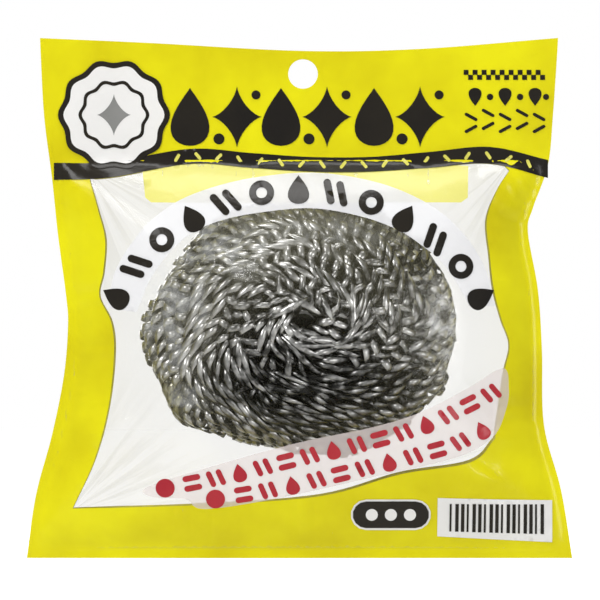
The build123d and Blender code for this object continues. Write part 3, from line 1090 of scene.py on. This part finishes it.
# Where curls lie loose on the front: centre and reach in metres, and their lean
LOOSE = (0.000, -0.086, 0.028, 0.014)
LOOSE_LEAN = 1.1
MOST_LEAN = 2.4
# Curls over which the lean drifts from one draw to the next
DRIFT_CURLS = 9
# Size and lean of the curls at the rim, and what they gain towards the middle of a face
RIM_SIZE, SIZE_GAIN = 0.85, 0.45
RIM_LEAN, LEAN_GAIN = 0.60, 1.3
# Ranges of the random draws
SIZE_DRAW = (0.78, 1.15)
DRIFT_DRAW = (-1.3, 1.6)
LEAN_DRAW = (-0.8, 1.0)
TURN_DRAW = (-1.3, 1.3)
BREADTH_DRAW = (0.7, 1.15)


def unit(vectors):
    """Vectors brought to a length of 1."""
    return vectors / np.linalg.norm(vectors, axis=1)[:, None]


def waves(start, rows, phi, psi, seed):
    """A start and the waves over the scourer added to it."""
    return sum((high * np.sin(a * phi + b * psi + c * seed) for high, a, b, c in rows), start)


def spiral(wide, tall, deep, rounds, seed):
    """A path that winds unevenly over the whole scourer, and the way out at its points."""
    # Spread the rounds evenly along the meridian
    polar = np.linspace(POLE_GAP, math.pi - POLE_GAP, POLAR_STEPS)
    mean = (wide + tall) / 2
    meridian = running(np.hypot(np.diff(mean * np.sin(polar)), np.diff(deep * np.cos(polar))))
    turns = np.linspace(0, rounds, rounds * STEPS_PER_ROUND)
    psi = np.interp(turns / rounds, meridian / meridian[-1], polar)
    phi = turns * 2 * math.pi + seed
    wander = waves(1, WANDERS, phi, psi, seed)
    for turn, swell in SWELLS:
        off = (phi - turn + math.pi) % (2 * math.pi) - math.pi
        wander += swell * np.exp(-(off**2) / SWELL_BREADTH)
    sunk = waves(0, SINKS, phi, psi, seed)
    x = BALL_X + (wide * wander) * np.sin(psi) * np.cos(phi)
    shift = SWIRL_SHIFT * (1 - np.sin(psi))
    z = BALL_Z + shift + (tall * wander) * np.sin(psi) * np.sin(phi)
    middle = np.stack([x, -deep * np.cos(psi), z], 1)
    slopes = [(x - BALL_X) / wide**2, middle[:, 1] / deep**2, (z - BALL_Z) / tall**2]
    out = unit(np.stack(slopes, 1))
    return middle - out * np.abs(sunk)[:, None], out


def pressed(points):
    """Curls pressed softly inwards where they would come near the film."""
    room = np.maximum(calm_depth(points[:, 0], points[:, 2]) - FILM_MARGIN, LEAST_ROOM)
    share = np.abs(points[:, 1]) / room
    rest = 1 - PRESS_FROM
    soft = PRESS_FROM + rest * np.tanh((share - PRESS_FROM) / rest)
    soft = np.where(share > PRESS_FROM, soft, share)
    points[:, 1] *= soft / np.maximum(share, TINY_SHARE)
    return points


def wound_ribbon(shrink, rounds, seed, gap):
    """A ribbon curled along a spiral: its points, half widths and half thicknesses."""
    draw = np.random.default_rng(seed)
    sizes = (BALL_WIDE, BALL_TALL, BALL_DEEP - FACE_MARGIN)
    wide, tall, deep = (size - shrink - CURL_RADIUS for size in sizes)
    middle, out = spiral(wide, tall, deep, rounds, seed)
    run = running(np.linalg.norm(np.diff(middle, axis=0), axis=1))
    curls = int(run[-1] / CURL_PITCH)
    count = curls * STEPS_PER_CURL
    along = np.linspace(0, run[-1], count)
    base = np.stack([np.interp(along, run, middle[:, k]) for k in range(3)], 1)
    normal = unit(np.stack([np.interp(along, run, out[:, k]) for k in range(3)], 1))
    tangent = unit(np.gradient(base, axis=0))
    across = unit(np.cross(tangent, normal))
    at = np.linspace(0, curls, count)

    def drawn(low, high, every=1):
        """Random numbers, drawn for every curl or every few, and steady between."""
        knots = np.arange(curls + 2)[::every]
        return np.interp(at, knots, draw.uniform(low, high, len(knots)))

    to_rim = np.hypot((base[:, 0] - BALL_X) / wide, (base[:, 2] - BALL_Z) / tall)
    inner = np.clip(1 - to_rim, 0, 1)
    size = CURL_RADIUS * (RIM_SIZE + SIZE_GAIN * inner) * drawn(*SIZE_DRAW)
    drift = drawn(*DRIFT_DRAW, every=DRIFT_CURLS)
    lean = (RIM_LEAN + LEAN_GAIN * inner) * (drift + drawn(*LEAN_DRAW))
    off_x = (base[:, 0] - LOOSE[0]) / LOOSE[2]
    off_z = (base[:, 2] - LOOSE[1]) / LOOSE[3]
    loose = np.exp(-(off_x**2) - off_z**2) * (base[:, 1] < 0)
    lean = MOST_LEAN * np.tanh((lean + LOOSE_LEAN * loose) / MOST_LEAN)
    angle = at * 2 * math.pi + drawn(*TURN_DRAW)
    radial = normal * np.cos(angle)[:, None] + across * np.sin(angle)[:, None]
    points = base + radial * size[:, None] + tangent * (np.sin(angle) * lean * size)[:, None]
    points = pressed(points)
    way = unit(np.gradient(points, axis=0))
    width = unit(np.cross(way, radial))
    thick = np.cross(width, way)
    broad = RIBBON_WIDE * drawn(*BREADTH_DRAW) * (1 - gap * loose)
    return points, width * broad[:, None] / 2, thick * RIBBON_THICK / 2


def ribbon_mesh(name, points, width, thick, made):
    """A flat ribbon with closed ends."""
    corners = np.stack([points + a * width + b * thick for a, b in CORNER_SIGNS], 1)
    last = 4 * (len(points) - 1)
    faces = []
    for a in range(0, last, 4):
        b = a + 4
        for s in range(4):
            faces.append((a + s, a + (s + 1) % 4, b + (s + 1) % 4, b + s))
    faces.append((3, 2, 1, 0))
    faces.append((last, last + 1, last + 2, last + 3))
    return add_mesh(name, corners.reshape(-1, 3), faces, made)


# Parts of the scourer with their CAD nodes. A layer passes from the front to the rim where
# its Y, smoothed over a few curls, comes above this.
PARTS = (("front", "front_ribbon"), ("rim", "rim_ribbon"), ("back", "back_ribbon"))
RIM_FROM_Y = -0.0085
SMOOTH_STEPS = 120
PIECE_POINTS = 20000


def wind_scourer():
    """Layers of curls, each cut where it passes from a face to the rim."""
    for layer, (shrink, rounds, seed, gap) in enumerate(LAYERS):
        points, width, thick = wound_ribbon(shrink, rounds, seed, gap)
        soft = np.convolve(points[:, 1], np.ones(SMOOTH_STEPS) / SMOOTH_STEPS, mode="same")
        skip = SMOOTH_STEPS // 2
        first = int(np.argmax(soft[skip : len(points) // 2] > RIM_FROM_Y)) + skip
        second = len(points) - first
        spans = ((0, first + 1), (first, second + 1), (second, len(points)))
        for (part, node), (start, end) in zip(PARTS, spans):
            cuts = (end - start) // PIECE_POINTS + 1
            marks = np.linspace(start, end, cuts + 1).astype(int)
            for k in range(cuts):
                cut = slice(marks[k], min(marks[k + 1] + 1, end))
                name = f"{part}_curls_{layer + 1}_{k + 1}"
                # Inner layers take the steel painted with shade
                steel = SHADED_STEEL if layer else STEEL
                piece = ribbon_mesh(name, points[cut], width[cut], thick[cut], steel)
                declare(piece, node)


wind_scourer()
# The core takes the packed steel painted with shade
for node, made in (("ribbon_core", SHADED_CORE), ("centre_tie", STEEL)):
    for slot in bpy.data.objects[node].material_slots:
        slot.material = made

# Stage, light and camera, in metres and watts
STAGE_SIZE = 6.0
STAGE_GAP = 0.03
FLOOR_GLOW = 0.64
WORLD_LEVEL = 0.45
LAMPS = (
    ("key", (-0.55, -0.75, 0.45), (0, 0, -0.06), (0.35, 0.35), 3.9),
    ("fill", (0.5, -0.8, -0.22), (0, 0, -0.09), (0.4, 0.5), 4.0),
    ("top", (0.0, -0.15, 0.7), (0, 0, -0.06), (0.5, 0.2), 2.2),
    ("back", (-0.35, 0.9, 0.2), (0, 0, -0.07), (0.6, 0.6), 4.0),
)
CAMERA_DISTANCE = 1.6
CAMERA_CLIP = 0.05
SENSOR = 36


def seen_share(node):
    """1 for rays from the camera or through matter, and 0 for others."""
    path = new_node(node, "LightPath").outputs
    return greatest([path["Is Camera Ray"], path["Is Transmission Ray"]])


def build_stage():
    """A pale floor that looks white to the camera and takes the object's shadow."""
    made, shader = material(
        "pale_floor", (0.80, 0.80, 0.80), Roughness=0.9, Emission_Color=(1, 1, 1, 1)
    )
    glow = times(seen_share(shader), FLOOR_GLOW)
    link(glow, shader.inputs["Emission Strength"])
    corners = box((0, 0), STAGE_SIZE, STAGE_SIZE)
    places = [(x, y, FOOT_Z - STAGE_GAP) for x, y in corners]
    add_mesh("floor", places, [(0, 1, 2, 3)], made)


def build_world():
    """A world that the camera sees white and that lights the object less."""
    world = bpy.data.worlds.new("studio")
    SCENE.world = world
    world.use_nodes = True
    back = filled(world.node_tree.nodes["Background"], Color=(1, 1, 1, 1))
    level = times(seen_share(back), 1.0 - WORLD_LEVEL)
    link(plus(level, WORLD_LEVEL), back.inputs["Strength"])


def area_light(name, place, target, size, power):
    """A rectangular lamp at a place, turned to a target."""
    data = bpy.data.lights.new(name, "AREA")
    data.shape = "RECTANGLE"
    data.size, data.size_y = size
    data.energy = power
    lamp = add_object(name, data)
    lamp.location = place
    lamp.rotation_euler = (Vector(target) - Vector(place)).to_track_quat("-Z", "Y").to_euler()


def build_camera():
    """A camera before the pouch whose picture is the photograph's frame."""
    data = bpy.data.cameras.new("camera")
    data.sensor_width = SENSOR
    data.lens = SENSOR * CAMERA_DISTANCE / (PHOTO_SIZE * PIXEL)
    data.clip_start = CAMERA_CLIP
    x, z = spot((PHOTO_SIZE / 2, PHOTO_SIZE / 2))
    camera = add_object("camera", data)
    camera.location = (x, -CAMERA_DISTANCE, z)
    camera.rotation_euler = (math.pi / 2, 0, 0)
    SCENE.camera = camera


build_stage()
build_world()
for lamp in LAMPS:
    area_light(*lamp)
build_camera()
SCENE.view_settings.view_transform = "Standard"
